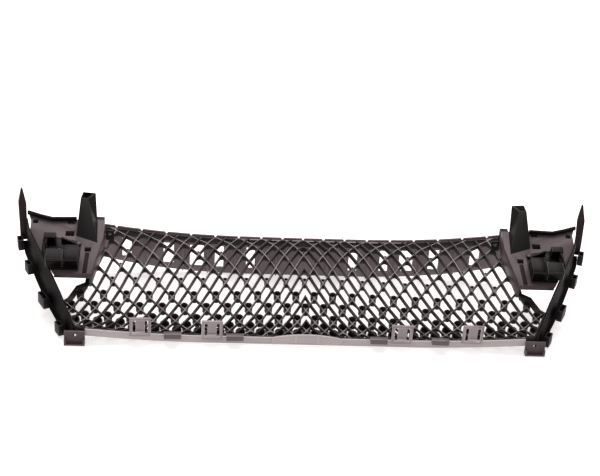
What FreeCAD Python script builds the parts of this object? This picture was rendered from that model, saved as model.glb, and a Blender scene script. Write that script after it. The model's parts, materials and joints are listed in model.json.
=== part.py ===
import FreeCAD, Part
import Sketcher
import math
import os

# Front grille insert of a car, lying on its front face with its back upwards.
# X runs across the car, Y runs from the narrow edge to the wide edge, Z points to
# the car's rear. The origin is under the middle of the whole part.
# Sizes are in millimetres.

Vector = FreeCAD.Vector

STANDARD_WIDTH = 998.0
STANDARD_DEPTH = 258.0

SIZES = (
    ("overall_width", STANDARD_WIDTH),
    ("overall_depth", STANDARD_DEPTH),
    ("origin_y", 114.06),
    # lattice
    ("mesh_depth", 12.0),
    ("mesh_low", 12.5),
    ("mesh_rise", 62.0),
    ("mesh_border", 4.0),
    ("border_sink", 0.5),
    ("blade_thickness", 1.8),
    ("near_blade_depth", 3.5),
    ("far_blade_depth", 8.0),
    ("bar_thickness", 2.4),
    ("bar_rise", 1.2),
    ("arch_reach", 3.0),
    ("arch_fill", 13.0),
    ("post_wall", 1.2),
    ("post_rise", 1.3),
    ("post_sink", 1.0),
    ("bell_reach", 5.0),
    ("bell_depth", 8.0),
    ("near_edge_y", 11.0),
    ("far_edge_y", 229.0),
    ("near_edge_bow", 9.0),
    ("far_edge_bow", 5.0),
    ("end_lift", 14.0),
    ("flat_half", 120.0),
    ("lift_span", 230.0),
    ("pitch_outer", 44.0),
    ("pitch_gather", 24.0),
    ("gather_columns", 3.0),
    ("fan_narrow", 0.78),
    ("fan_extra", 0.225),
    ("fan_rows", 5.0),
    ("row_bow", 25.0),
    # walls round the lattice
    ("skin_thickness", 2.5),
    ("wall_end_lift", 24.0),
    ("rim_height", 2.0),
    ("notch_width", 6.0),
    ("notch_depth", 5.0),
    ("wall_rib_depth", 6.0),
    ("wall_rib_thickness", 2.0),
    ("wall_rib_gap", 2.0),
    ("window_foot", 12.0),
    ("window_head", 8.0),
    ("flange_thickness", 3.0),
    ("rail_thickness", 3.0),
    ("rail_lip", 7.0),
    ("rail_lip_thickness", 2.5),
    # corner plates and what stands on them
    ("plate_thickness", 3.0),
    ("plate_clearance", 0.7),
    ("plate_level", 79.0),
    ("plate_near_y", 83.0),
    ("plate_rim_height", 7.0),
    ("plate_rim_width", 4.0),
    ("plate_step", 1.5),
    ("plate_apron", 8.0),
    ("plate_skirt", 28.8),
    ("pocket_wall", 1.2),
    ("pocket_drop", 8.0),
    ("pillar_head", 154.0),
    ("pillar_wall", 2.4),
    ("block_height", 17.0),
    ("blade_head", 158.0),
    # catches along the narrow edge
    ("catch_width", 35.0),
    ("catch_height", 36.0),
    ("catch_thickness", 4.0),
    ("catch_bar", 5.0),
    ("catch_rise", 33.0),
    ("tongue_width", 15.0),
    ("tongue_length", 22.0),
    ("tongue_thickness", 1.8),
    ("tongue_gap", 0.3),
    ("hook_reach", 2.2),
    ("hook_height", 4.0),
    ("box_width", 29.0),
    ("box_reach", 9.5),
    ("box_height", 9.5),
    ("box_wall", 2.0),
    ("box_rise", 8.5),
    ("trim_half", 58.0),
    ("trim_seam", 18.5),
    ("trim_thickness", 3.0),
    ("trim_arch", 7.0),
    ("trim_foot", 1.5),
    ("trim_head", 15.0),
    # clips and screws
    ("clip_length", 18.0),
    ("long_clip_length", 27.0),
    ("clip_height", 20.0),
    ("clip_reach", 9.5),
    ("clip_wall", 1.5),
    ("clip_drop", 2.0),
    ("bracket_width", 34.0),
    ("bracket_reach", 10.0),
    ("bracket_height", 24.0),
    ("bracket_sheet", 3.0),
    ("bracket_bore", 3.0),
    ("bracket_bore_height", 16.0),
    ("bracket_cheek", 11.0),
    ("ear_width", 14.0),
    ("ear_thickness", 3.0),
    ("ear_height", 19.0),
    ("ear_bore", 3.3),
    ("ear_bore_height", 12.0),
    # sensor on each corner plate
    ("base_thickness", 2.5),
    ("case_length", 30.0),
    ("case_width", 26.0),
    ("case_height", 20.0),
    ("socket_length", 23.0),
    ("socket_width", 36.0),
    ("socket_height", 17.0),
    ("socket_wall", 2.0),
    ("pin_radius", 0.8),
    ("pin_length", 8.0),
    ("pin_pitch", 5.0),
    ("cap_length", 21.0),
    ("cap_width", 12.0),
    ("cap_height", 14.0),
    ("stay_thickness", 2.5),
    ("arm_length", 30.0),
    ("arm_width", 3.0),
    ("arm_height", 8.0),
    ("screw_radius", 2.0),
    ("screw_overrun", 4.0),
    ("head_radius", 4.2),
    ("head_height", 2.6),
    ("seat_gap", 0.3),
)

# Row spacing of the lattice from the wide edge to the narrow edge, and one row beyond
# each of the two edges, where the cut-off cells have their outer corners.
ROW_GAPS = (13.0, 23.0, 30.0, 33.0, 34.0, 27.0, 26.0, 18.0, 15.0)
OUTER_GAP = 14.0
LAST_ROW = len(ROW_GAPS)
COLUMNS = 12

# Radius of the posts in each row, and the first row whose crossings have a bell.
POST_SIDES = 12
ARCH_STEPS = (0.25, 0.5, 0.75)
POST_RADII = (2.2, 2.4, 2.6, 2.8, 4.3, 6.3, 6.8, 7.2, 8.0, 8.5)
FIRST_BELL_ROW = 4

# Reach of a cutter past what it cuts, and the height of one through the whole part.
SPARE = 40.0
TALLEST = 240.0

# Stations across the part, between which the lattice and its walls are flat.
STATIONS = (-366.0, -310.0, -250.0, -185.0, -120.0, 0.0, 120.0, 185.0, 250.0, 310.0, 366.0)

# Windows of the wide edge wall: middle and width, on both sides of the centre line.
WALL_WINDOWS = ((92.0, 15.0), (148.0, 15.0), (188.0, 24.0), (238.0, 18.0), (312.0, 16.0))

# Notches each side of the middle one, in the head of the wide edge wall.
NOTCH_COLUMNS = 8

# Side rail: plan place, foot height and head height at each station.
RAIL_STATIONS = (
    (384.0, 6.0, 0.0, 26.0),
    (396.0, 28.0, 3.0, 46.0),
    (410.0, 53.0, 10.0, 64.0),
    (429.0, 86.0, 22.0, 85.0),
    (447.0, 121.0, 38.0, 97.0),
    (462.0, 152.0, 52.0, 106.0),
    (474.0, 178.0, 63.0, 113.0),
    (480.0, 201.0, 72.0, 119.0),
)

# How much of the centre trim's arch its foot follows.
TRIM_HOLLOW = 0.7

# Gap that keeps the contact pins off the wall that they stand on.
PIN_GAP = 0.1

# Clips along the rail's lip: which stretch between stations, how far along it, and the
# named size that holds the clip's length.
CLIP_PLACES = ((6, 0.57, "clip_length"), (4, 0.8, "clip_length"),
               (3, 0.0, "long_clip_length"), (1, 0.1, "clip_length"))

# Corners of the pillars in plan, where they stand and at their heads.
PILLAR_BASE = ((357.0, 152.0), (394.0, 166.0), (394.0, 198.0), (360.0, 198.0))
PILLAR_TOP = ((377.0, 214.0), (390.0, 216.0), (387.0, 231.0), (365.0, 229.0))
PILLAR_MIDDLE_Y = 222.0
POST_FLOOR = 0.06
POST_OVERRUN = 0.05

# End blade: shift along the rail, inner and outer side, reach, and height above its
# foot or, for the last two, below its tip.
BLADE_FOOT = ((0.0, 1.0, 13.0, 18.0, 4.0), (2.0, 1.0, 13.0, 18.0, 28.0))
BLADE_TIP = ((20.0, -1.5, 12.5, 13.0, 22.0), (36.0, 2.5, 6.0, 4.0, 0.0))

# Block beside each pillar: its sides, and its near and far faces.
BLOCK_SIDES = (350.0, 364.0)
BLOCK_DEPTH = (218.0, 231.0)

# Mounting ear and sensor pieces in plan, and the corners of the sensor's base sheet.
EAR_PLACE = (339.0, 199.0)
CASE_PLACE = (409.0, 92.0)
SOCKET_PLACE = (385.0, 94.0)
CAP_PLACE = (426.0, 147.0)
STAY_PLACE = (441.0, 119.0)
ARM_PLACE = (391.0, 138.5)
ARM_TURN = 27.0
BASE_CORNERS = ((384.0, 90.0), (428.0, 90.0), (436.0, 106.0), (449.0, 128.0),
                (449.0, 160.0), (424.0, 160.0), (384.0, 151.0))

# Side view of the sensor's stay, and of its two openings.
STAY_OUTLINE = ((0, 0), (26, 0), (26, 14), (10, 20), (0, 8))
STAY_OPENINGS = (((3, 3), (12, 3), (3, 7)), ((15, 3), (23, 3), (23, 12), (12, 16), (9, 12)))

# Catches and box tabs along the narrow edge, as distances from the centre line.
CATCH_PLACES = (276.0, 158.0)
BOX_PLACES = (223.0, 120.0)

doc = FreeCAD.newDocument("front_grille")
sheet = doc.addObject("Spreadsheet::Sheet", "sizes")
for line, (alias, value) in enumerate(SIZES, start=1):
    sheet.set("A%d" % line, alias)
    sheet.set("B%d" % line, str(value))
    sheet.setAlias("B%d" % line, alias)
doc.recompute()

parts = []


def size(alias):
    return float(getattr(sheet, alias))


WIDE = size("overall_width") / STANDARD_WIDTH
DEEP = size("overall_depth") / STANDARD_DEPTH


def spot(x, y, z=0.0):
    """Place of a point of the standard part on this one."""
    return Vector(x * WIDE, (y - size("origin_y")) * DEEP, z)


# ---------------------------------------------------------------- shared surfaces


def lift(x):
    """Height that the swept-back ends gain over the flat middle."""
    beyond = max(0.0, abs(x) - size("flat_half")) / size("lift_span")
    return size("end_lift") * beyond * beyond


def faceted(function, x):
    """Value of a function of x, straight between the stations."""
    reach = abs(x)
    stations = [s for s in STATIONS if s >= 0]
    for low, high in zip(stations, stations[1:]):
        if reach <= high:
            share = (reach - low) / (high - low)
            return function(low) * (1 - share) + function(high) * share
    share = (reach - stations[-2]) / (stations[-1] - stations[-2])
    return function(stations[-2]) * (1 - share) + function(stations[-1]) * share


def slope():
    return size("mesh_rise") / (size("far_edge_y") - size("near_edge_y"))


def incline():
    """Rise of the lattice and the corner plates for each mm of their real depth."""
    return slope() / DEEP


def mesh_top(x, y):
    return size("mesh_low") + slope() * (y - size("near_edge_y")) + faceted(lift, x)


def near_edge(x):
    return size("near_edge_y") - size("near_edge_bow") * (x / STATIONS[-1]) ** 2


def far_edge(x):
    return size("far_edge_y") + size("far_edge_bow") * (x / STATIONS[-1]) ** 2


def near_line(x):
    return faceted(near_edge, x)


def far_line(x):
    return faceted(far_edge, x)


def plate_top(y):
    """Height of the corner plates' upper face."""
    return size("plate_level") + slope() * (y - size("plate_near_y")) + size("plate_thickness")


# ---------------------------------------------------------------- solids from points


def flat(points):
    return Part.Face(Part.makePolygon(list(points) + [points[0]]))


def ribbon(a, b, c, d):
    """One flat face over four points, or two where they aren't in one plane."""
    normal = (b - a).cross(c - a)
    if normal.Length > 1e-9 and abs((d - a).dot(normal) / normal.Length) < 1e-6:
        return [flat([a, b, c, d])]
    return [flat([a, b, c]), flat([a, c, d])]


def skin(sections):
    """Closed solid through flat sections that have the same number of corners."""
    faces = [flat(sections[0]), flat(sections[-1])]
    for near, far in zip(sections, sections[1:]):
        for i in range(len(near)):
            j = (i + 1) % len(near)
            faces += ribbon(near[i], near[j], far[j], far[i])
    solid = Part.Solid(Part.Shell(faces))
    if solid.Volume < 0:
        solid.reverse()
    return solid


def feature(label, shape):
    """Sub-part whose shape comes from Part's own functions."""
    part = doc.addObject("Part::Feature", label)
    part.Label = label
    part.Shape = shape
    part.Placement = FreeCAD.Placement()
    parts.append(part)
    return part


def mirrored(source, label):
    """Left-hand twin of a right-hand sub-part."""
    part = doc.addObject("Part::Mirroring", label)
    part.Label = label
    part.Source = source
    part.Normal = Vector(1, 0, 0)
    part.Base = Vector(0, 0, 0)
    parts.append(part)
    return part


def pair(source, name):
    """Names the right-hand piece and adds the left-hand one."""
    source.Label = name + "_right"
    if source not in parts:
        parts.append(source)
    return mirrored(source, name + "_left")


# ---------------------------------------------------------------- bodies


def body_of(name):
    body = doc.addObject("PartDesign::Body", name)
    body.Label = name
    return body


def sketch_on(body, role, name, height=0.0):
    sketch = body.newObject("Sketcher::SketchObject", name)
    plane = [o for o in body.Origin.OriginFeatures if o.Role == role][0]
    sketch.AttachmentSupport = (plane, [""])
    sketch.MapMode = "FlatFace"
    sketch.AttachmentOffset = FreeCAD.Placement(Vector(0, 0, height), FreeCAD.Rotation())
    return sketch


def outline(sketch, points):
    """Closed outline of straight lines."""
    first = sketch.GeometryCount
    count = len(points)
    for i in range(count):
        a, b = points[i], points[(i + 1) % count]
        sketch.addGeometry(Part.LineSegment(Vector(a[0], a[1], 0), Vector(b[0], b[1], 0)))
    for i in range(count):
        j = (i + 1) % count
        sketch.addConstraint(Sketcher.Constraint("Coincident", first + i, 2, first + j, 1))
    return first


def rectangle(sketch, width, height, low=0.0):
    """Rectangle on the sketch's upright axis, bound to cells of the sheet."""
    wide, tall = size(width), size(height)
    corners = [(-wide / 2, low), (wide / 2, low), (wide / 2, low + tall), (-wide / 2, low + tall)]
    first = outline(sketch, corners)
    square_up(sketch, first)
    for kind, edge, cell in (("DistanceX", first, width), ("DistanceY", first + 1, height)):
        index = sketch.addConstraint(Sketcher.Constraint(kind, edge, 1, edge, 2, size(cell)))
        sketch.setExpression("Constraints[%d]" % index, "sizes.%s" % cell)


def square_up(sketch, first):
    """Keeps a four-sided outline square and level, and even about the upright axis."""
    sketch.addConstraint(Sketcher.Constraint("Vertical", first + 1))
    sketch.addConstraint(Sketcher.Constraint("Horizontal", first + 2))
    sketch.addConstraint(Sketcher.Constraint("Vertical", first + 3))
    sketch.addConstraint(Sketcher.Constraint("Symmetric", first, 1, first, 2, -2))


def pad(body, sketch, name, cell, both=False, down=False):
    feature_ = body.newObject("PartDesign::Pad", name)
    feature_.Profile = sketch
    feature_.Reversed = down
    if both:
        feature_.Midplane = True
    feature_.setExpression("Length", "sizes.%s" % cell)
    doc.recompute()
    return feature_


def screw_hole():
    return size("screw_radius") + size("seat_gap")


def bores(sketch, places, radius):
    for x, y in places:
        sketch.addGeometry(Part.Circle(Vector(x, y, 0), Vector(0, 0, 1), radius))


# ---------------------------------------------------------------- lattice


def row_y(row):
    if row < 0:
        return size("far_edge_y") + OUTER_GAP
    if row > LAST_ROW:
        return size("near_edge_y") - OUTER_GAP
    return size("far_edge_y") - sum(ROW_GAPS[:row])


def node(column, row):
    """Crossing of the lattice. Columns draw together towards the middle and the narrow edge."""
    spread = size("pitch_outer") * column
    spread -= size("pitch_gather") * math.tanh(column / size("gather_columns"))
    x = spread * (size("fan_narrow") + size("fan_extra") * math.exp(-row / size("fan_rows")))
    bow = size("row_bow") * math.sin(math.pi * (row + 0.6) / (LAST_ROW + 1.5))
    return spot(x, row_y(row) - bow * (x / STATIONS[-1]) ** 2)


def inset(points, gaps):
    """Polygon drawn in by its own gap along each edge."""
    if sum(a.x * b.y - b.x * a.y for a, b in zip(points, points[1:] + points[:1])) < 0:
        points = points[::-1]
        gaps = gaps[-2::-1] + gaps[-1:]
    lines = []
    for i, gap in enumerate(gaps):
        a, b = points[i], points[(i + 1) % len(points)]
        along = (b - a).normalize()
        lines.append((a + Vector(-along.y, along.x, 0) * gap, along))
    corners = []
    for i in range(len(lines)):
        (p, u), (q, v) = lines[i - 1], lines[i]
        cross = u.x * v.y - u.y * v.x
        share = ((q.x - p.x) * v.y - (q.y - p.y) * v.x) / cross
        corners.append(p + u * share)
    return corners


def clip_corner(points, near, reach):
    """Cuts off the corner nearest to a point, so that the blades' crossing is rounder."""
    i = min(range(len(points)), key=lambda n: (points[n] - near).Length)
    tip, before, after = points[i], points[i - 1], points[(i + 1) % len(points)]
    ends = [tip + (other - tip).normalize() * reach for other in (before, after)]
    return points[:i] + ends + points[i + 1:]


def cell_opening(column, row):
    """Opening between the four blades of one cell."""
    top, foot = node(column, row - 1), node(column, row + 1)
    left, right = node(column - 0.5, row), node(column + 0.5, row)
    opening = inset([left, foot, right, top], [size("blade_thickness") / 2] * 4)
    return clip_corner(opening, top, size("arch_reach"))


def bar_line(shift):
    """Line of a straight bar right of the middle, through the cells' lower outer edges."""
    points = []
    for row in range(-1, LAST_ROW + 2):
        column = shift + row / 2
        if column == 0:
            points.append((node(0, row - 1) + node(0, row + 1)) * 0.5)
        if column >= 0:
            points.append((node(column + 0.5, row) + node(column, row + 1)) * 0.5)
    return points


def band(line, width):
    """Outline of a band along the middle of an open line."""
    sides = ([], [])
    for i, point in enumerate(line):
        edge = (line[min(i + 1, len(line) - 1)] - line[min(i, len(line) - 2)]).normalize()
        along = (line[min(i + 1, len(line) - 1)] - line[max(i - 1, 0)]).normalize()
        across = Vector(-along.y, along.x, 0) * (width / 2 / along.dot(edge))
        sides[0].append(point + across)
        sides[1].append(point - across)
    return sides[0] + sides[1][::-1]


def straight_bars():
    """Outlines of the straight bars, which meet in chevrons on the centre line."""
    outlines = []
    for step in range(-LAST_ROW, 2 * COLUMNS):
        right = bar_line(step + 0.5)
        if len(right) < 2:
            continue
        left = [Vector(-p.x, p.y, 0) for p in right]
        if right[0].x == 0:
            outlines.append(band(left[:0:-1] + right, size("bar_thickness")))
        else:
            outlines.append(band(right, size("bar_thickness")))
            outlines.append(band(left, size("bar_thickness")))
    return outlines


def crossings():
    """Column and row of each crossing of the lattice."""
    places = []
    for row in range(LAST_ROW + 1):
        shift = 0.5 if row % 2 else 0.0
        places += [(step + shift, row) for step in range(-COLUMNS, COLUMNS + 1)]
    return places


def disc(column, row, wall):
    """Many-sided face in the corner above a crossing, drawn in by a wall."""
    radius = POST_RADII[row]
    here = node(column, row)
    up = (node(column, row - 1) - here).normalize()
    middle = here + up * (radius * size("post_rise") + size("blade_thickness") / 2)
    turns = [2 * math.pi * (i + 0.5) / POST_SIDES for i in range(POST_SIDES)]
    return flat([middle + Vector(math.cos(t), math.sin(t), 0) * (radius - wall) for t in turns])


def bell(column, row):
    """Face in the corner under a crossing: a bell in the near rows, an arch in the far ones."""
    here = node(column, row)
    ends = [node(column + side, row + 1) - here for side in (-0.5, 0.5)]
    if row >= FIRST_BELL_ROW:
        return flat([here] + [here + end.normalize() * size("bell_reach") for end in ends])
    first, last = [here + end.normalize() * size("arch_fill") for end in ends]
    curve = [first * (1 - t) ** 2 + here * (2 * t * (1 - t)) + last * t ** 2 for t in ARCH_STEPS]
    return flat([here, first] + curve + [last])


def rail_frames():
    """Place, outward direction, foot and head of the side rail at its stations."""
    frames = []
    last = len(RAIL_STATIONS) - 1
    for i, (x, y, foot, head) in enumerate(RAIL_STATIONS):
        before, after = RAIL_STATIONS[max(0, i - 1)], RAIL_STATIONS[min(last, i + 1)]
        along = spot(after[0], after[1]) - spot(before[0], before[1])
        outward = Vector(along.y, -along.x, 0).normalize()
        frames.append((spot(x, y), outward, foot, head))
    return frames


def inside_rail(station, gap="seat_gap"):
    """Point just inside the rail, where a neighbour seats against it."""
    place, outward, foot, head = rail_frames()[station]
    return place - outward * size(gap)


def mesh_outline():
    """Corners of the lattice in plan, anticlockwise from the left end of the narrow edge."""
    right = [inside_rail(0), inside_rail(1), inside_rail(2), spot(400.0, 62.0),
             spot(388.0, 90.0), spot(374.0, 100.0)]
    left = [Vector(-p.x, p.y, 0) for p in right[::-1]]
    near = [spot(x, near_edge(x)) for x in STATIONS]
    far = [spot(x, far_edge(x)) for x in STATIONS[::-1]]
    return near + right + far + left


def slab(above, near_depth, far_depth):
    """Bowed slab along the lattice: how far it stands above it, and how deep it goes."""
    sections = []
    low_y, high_y = size("near_edge_y") - SPARE, size("far_edge_y") + SPARE
    ends = (STATIONS[0] - 2 * SPARE,) + STATIONS + (STATIONS[-1] + 2 * SPARE,)
    for x in ends:
        low, high = mesh_top(x, low_y), mesh_top(x, high_y)
        sections.append([spot(x, low_y, low - near_depth), spot(x, high_y, high - far_depth),
                         spot(x, high_y, high + above), spot(x, low_y, low + above)])
    return skin(sections)


def upright(faces, layer):
    """Solids that stand on flat faces, within a slab."""
    low = Vector(0, 0, -SPARE)
    prisms = [face.extrude(Vector(0, 0, TALLEST)).translated(low) for face in faces]
    return Part.Compound(prisms).common(layer)


def mesh_panel():
    """Lattice of blades in a border, with straight bars over it and hollow posts in it."""
    rim = mesh_outline()
    inner = inset(rim, [size("mesh_border")] * len(rim))
    field = flat(inset(rim, [size("mesh_border") / 2] * len(rim)))
    openings = []
    for row in range(0, LAST_ROW + 1):
        shift = 0.0 if row % 2 else 0.5
        openings += [cell_opening(step + shift, row) for step in range(-COLUMNS, COLUMNS + 1)]
    blades = field.cut(Part.Compound([flat(o) for o in openings]))
    bars = field.common(Part.Compound([flat(o) for o in straight_bars()]))
    discs = field.common(Part.Compound([disc(k, row, 0.0) for k, row in crossings()]))
    hollows = [disc(k, row, size("post_wall")) for k, row in crossings()]
    bells = field.common(Part.Compound([bell(k, row) for k, row in crossings()]))
    blades = blades.cut(Part.Compound([disc(k, row, size("post_wall")) for k, row in crossings()
                                       if row >= FIRST_BELL_ROW]))
    depth, sunk = size("mesh_depth"), size("post_sink")
    shallow, deep = size("near_blade_depth"), size("far_blade_depth")
    border = upright([flat(rim).cut(flat(inner))], slab(-size("border_sink"), depth, depth))
    posts = upright(discs.Faces, slab(-sunk, depth, depth))
    posts = posts.cut(upright(hollows, slab(0.0, depth - 1.0, depth - 1.0)))
    solids = [border, posts, upright(blades.Faces, slab(0.0, shallow, deep)),
              upright(bars.Faces, slab(size("bar_rise"), shallow, deep)),
              upright(bells.Faces, slab(-sunk, size("bell_depth"), size("bell_depth")))]
    return feature("mesh_panel", solids[0].fuse(solids[1:]).removeSplitter())


# ---------------------------------------------------------------- walls


def wall_foot(x):
    beyond = max(0.0, abs(x) - size("flat_half")) / size("lift_span")
    return size("wall_end_lift") * beyond * beyond


def wide_edge_wall():
    """Upright wall along the wide edge, with windows, ribs and notches in its head."""
    sections, rib_places = [], []
    thick = size("skin_thickness")
    for x in STATIONS:
        head = mesh_top(x, far_edge(x)) + size("rim_height")
        y, foot = far_edge(x), wall_foot(x)
        sections.append([spot(x, y, foot), spot(x, y + thick, foot),
                         spot(x, y + thick, head), spot(x, y, head)])
    wall = skin(sections)
    cutters = []
    for middle, width in WALL_WINDOWS:
        for side in (-1, 1):
            x = side * middle
            foot = faceted(wall_foot, x) + size("window_foot")
            tall = mesh_top(x, far_line(x)) - size("mesh_depth") - size("window_head") - foot
            place = spot(x, far_line(x), foot) - Vector(width / 2, SPARE, 0)
            cutters.append(Part.makeBox(width, 2 * SPARE, tall, place))
    for column in range(-NOTCH_COLUMNS, NOTCH_COLUMNS + 1):
        x = node(column, 0).x / WIDE
        head = mesh_top(x, far_line(x)) + size("rim_height")
        half, deep = size("notch_width") / 2, size("notch_depth")
        tip = spot(x, far_line(x), head - deep) - Vector(0, thick, 0)
        notch = flat([tip, tip + Vector(half, 0, deep + 1), tip + Vector(-half, 0, deep + 1)])
        cutters.append(notch.extrude(Vector(0, 3 * thick, 0)))
    wall = wall.cut(Part.Compound(cutters))
    windows = [0.0] + [middle for middle, width in WALL_WINDOWS]
    for a, b in zip(windows, windows[1:]):
        rib_places += [(a + b) / 2, -(a + b) / 2]
    ribs = []
    rib = size("wall_rib_thickness")
    for x in rib_places:
        foot = faceted(wall_foot, abs(x) + rib) + 1.0
        tall = mesh_top(x, far_line(x)) - size("mesh_depth") - size("wall_rib_gap") - foot
        place = spot(x, far_line(x), foot) - Vector(rib / 2, size("wall_rib_depth"), 0)
        ribs.append(Part.makeBox(rib, size("wall_rib_depth") + thick / 2, tall, place))
    return feature("wide_edge_wall", wall.fuse(ribs))


def narrow_edge_flange():
    """Upright lip along the narrow edge."""
    sections = []
    for x in STATIONS:
        head = mesh_top(x, near_edge(x)) + 1.0
        foot = head - size("mesh_depth") - 1.0
        y, thick = near_edge(x), size("flange_thickness")
        sections.append([spot(x, y - thick, foot), spot(x, y, foot),
                         spot(x, y, head), spot(x, y - thick, head)])
    return feature("narrow_edge_flange", skin(sections))


def side_rails():
    """Tall side wall with a lip outside along its foot."""
    sections = []
    thick, lip = size("rail_thickness"), size("rail_lip")
    for place, outward, foot, head in rail_frames():
        ledge = foot + size("rail_lip_thickness")
        profile = [(0, foot), (thick + lip, foot), (thick + lip, ledge),
                   (thick, ledge), (thick, head), (0, head)]
        sections.append([place + outward * out + Vector(0, 0, z) for out, z in profile])
    rail = feature("side_rail_right", skin(sections))
    return pair(rail, "side_rail")


def tilted():
    """Placement that lays a body on the underside of the right corner plate."""
    turn = FreeCAD.Rotation(Vector(1, 0, 0), math.degrees(math.atan(incline())))
    return FreeCAD.Placement(spot(0, size("plate_near_y"), size("plate_level")), turn)


def on_plate(x, y):
    """A plan point in the corner plate's own sheet coordinates."""
    place = spot(x, y) - spot(0, size("plate_near_y"))
    return (place.x, place.y * math.sqrt(1 + incline() ** 2))


def on_sensor(x, y):
    """Sheet coordinates of a point of the sensor, which keeps its own size on any plate."""
    u, v = on_plate(*BASE_CORNERS[0])
    shift = Vector(x, y, 0) - Vector(*BASE_CORNERS[0], 0)
    return (u + shift.x, v + shift.y * math.sqrt(1 + slope() ** 2))


def strip(points, width):
    """Outline of a strip on the left of an open line."""
    line = [Vector(x, y, 0) for x, y in points]
    inner = []
    for i, point in enumerate(line):
        along = (line[min(i + 1, len(line) - 1)] - line[max(i - 1, 0)]).normalize()
        inner.append(point + Vector(-along.y, along.x, 0) * width)
    return [(p.x, p.y) for p in line] + [(p.x, p.y) for p in inner[::-1]]


PLATE_INNER = ((348.0, 206.0), (348.0, 165.0), (358.0, 110.0), (363.0, 83.0))
PLATE_FAR = ((480.0, 217.0), (458.0, 209.0), (437.0, 203.0), (396.0, 205.0))
# Outline of the low rib that runs up the plate's inner side.
PLATE_STRIPE = ((370.0, 85.0), (377.0, 85.0), (375.5, 129.0), (368.5, 129.0))
# Blind pockets in the plate: middle, width and height of each.
PLATE_POCKETS = ((466.0, 198.0, 9.0, 9.0), (405.0, 198.0, 12.0, 7.0),
                 (405.0, 172.0, 15.0, 12.0), (372.0, 137.0, 11.0, 10.0))
SCREW_PLACES = ((388.0, 146.0), (433.0, 125.0), (419.0, 129.0))


def upright_box(middle, wide, tall, wall):
    """Corners of a rectangle about a point, made larger all round by a wall."""
    (u, v), across, up = middle, wide / 2 + wall, tall / 2 + wall
    return [(u - across, v - up), (u + across, v - up), (u + across, v + up), (u - across, v + up)]


def corner_plate():
    """Sloping corner plate with a raised far rim, an apron, an inner skirt and blind pockets."""
    body = body_of("corner_plate")
    sheet_edge = [on_plate(x, y) for x, y in PLATE_INNER]
    shift = Vector(0, size("origin_y") * DEEP, 0)
    outer = [inside_rail(i, "plate_clearance") + shift for i in range(3, 7)]
    sheet_edge += [on_plate(425.0, size("plate_near_y"))]
    for point in outer[1:]:
        sheet_edge.append(on_plate(point.x / WIDE, point.y / DEEP))
    sheet_edge += [on_plate(474.0, 201.0)] + [on_plate(x, y) for x, y in PLATE_FAR]
    drawing = sketch_on(body, "XY_Plane", "plate_outline")
    outline(drawing, sheet_edge)
    bores(drawing, [on_sensor(x, y) for x, y in SCREW_PLACES], screw_hole())
    pad(body, drawing, "plate_sheet", "plate_thickness")
    rim = sketch_on(body, "XY_Plane", "rim_outline", size("plate_thickness"))
    outline(rim, strip([on_plate(x, y) for x, y in PLATE_FAR], size("plate_rim_width")))
    pad(body, rim, "far_rim", "plate_rim_height")
    step = sketch_on(body, "XY_Plane", "step_outline", size("plate_thickness"))
    outline(step, [on_plate(x, y) for x, y in PLATE_STRIPE])
    pad(body, step, "inner_step", "plate_step")
    apron = sketch_on(body, "XY_Plane", "apron_outline")
    near = [on_plate(x, size("plate_near_y")) for x in (424.0, 363.0)]
    outline(apron, strip(near[::-1], size("plate_thickness")))
    pad(body, apron, "near_apron", "plate_apron", down=True)
    skirt = sketch_on(body, "XY_Plane", "skirt_outline")
    outline(skirt, strip([on_plate(x, y) for x, y in PLATE_INNER], size("plate_thickness")))
    pad(body, skirt, "inner_skirt", "plate_skirt", down=True)
    cups = sketch_on(body, "XY_Plane", "cup_outlines")
    hollows = sketch_on(body, "XY_Plane", "cup_hollows", size("plate_thickness"))
    for x, y, wide, tall in PLATE_POCKETS:
        outline(cups, upright_box(on_plate(x, y), wide, tall, size("pocket_wall")))
        outline(hollows, upright_box(on_plate(x, y), wide, tall, 0.0))
    pad(body, cups, "pocket_cups", "pocket_drop", down=True)
    hollow = body.newObject("PartDesign::Pocket", "blind_pockets")
    hollow.Profile = hollows
    hollow.setExpression("Length",
                         "sizes.plate_thickness + sizes.pocket_drop - sizes.pocket_wall")
    body.Placement = tilted()
    doc.recompute()
    return pair(body, "corner_plate")


def hollow_post(base, top, wall):
    """Tapered post through two four-cornered sections, open at its head."""
    outer = skin([base, top])
    inner = [inset_flat(base, wall), inset_flat(top, wall)]
    rise = inner[1][0] - inner[0][0]
    inner[0] = [p + rise * POST_FLOOR for p in inner[0]]
    inner[1] = [p + rise * POST_OVERRUN for p in inner[1]]
    return outer.cut(skin(inner))


def inset_flat(points, gap):
    """Section drawn in towards its middle by a gap, corner by corner."""
    middle = sum(points, Vector()) * (1.0 / len(points))
    drawn = []
    for point in points:
        side = middle - point
        drawn.append(point + side.normalize() * gap * math.sqrt(2))
    return drawn


def pillars():
    """Hollow tapered post on each corner plate, leaning towards the wide edge."""
    head = size("pillar_head")
    gap = size("seat_gap")
    base = [spot(x, y, plate_top(y) + gap) for x, y in PILLAR_BASE]
    top = [spot(x, y, head + slope() * (y - PILLAR_MIDDLE_Y)) for x, y in PILLAR_TOP]
    post = hollow_post(base, top, size("pillar_wall"))
    return pair(feature("pillar_right", post), "pillar")


def end_blades():
    """Pointed two-sided blade that stands on the far end of each side rail."""
    place, outward, foot, head = rail_frames()[-1]
    along = Vector(-outward.y, outward.x, 0)
    start = place + along * size("seat_gap")
    top = size("blade_head")

    levels = [(foot + height, rest) for *rest, height in BLADE_FOOT]
    levels += [(top - drop, rest) for *rest, drop in BLADE_TIP]
    sections = []
    for level, (shift, inner, outer, reach) in levels:
        here = start + along * shift + Vector(0, 0, level)
        sections.append([here + outward * inner, here + outward * outer,
                         here + outward * (outer - 1) + along * reach,
                         here + outward * (inner + 1) + along * reach])
    return pair(feature("end_blade_right", skin(sections)), "end_blade")


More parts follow.
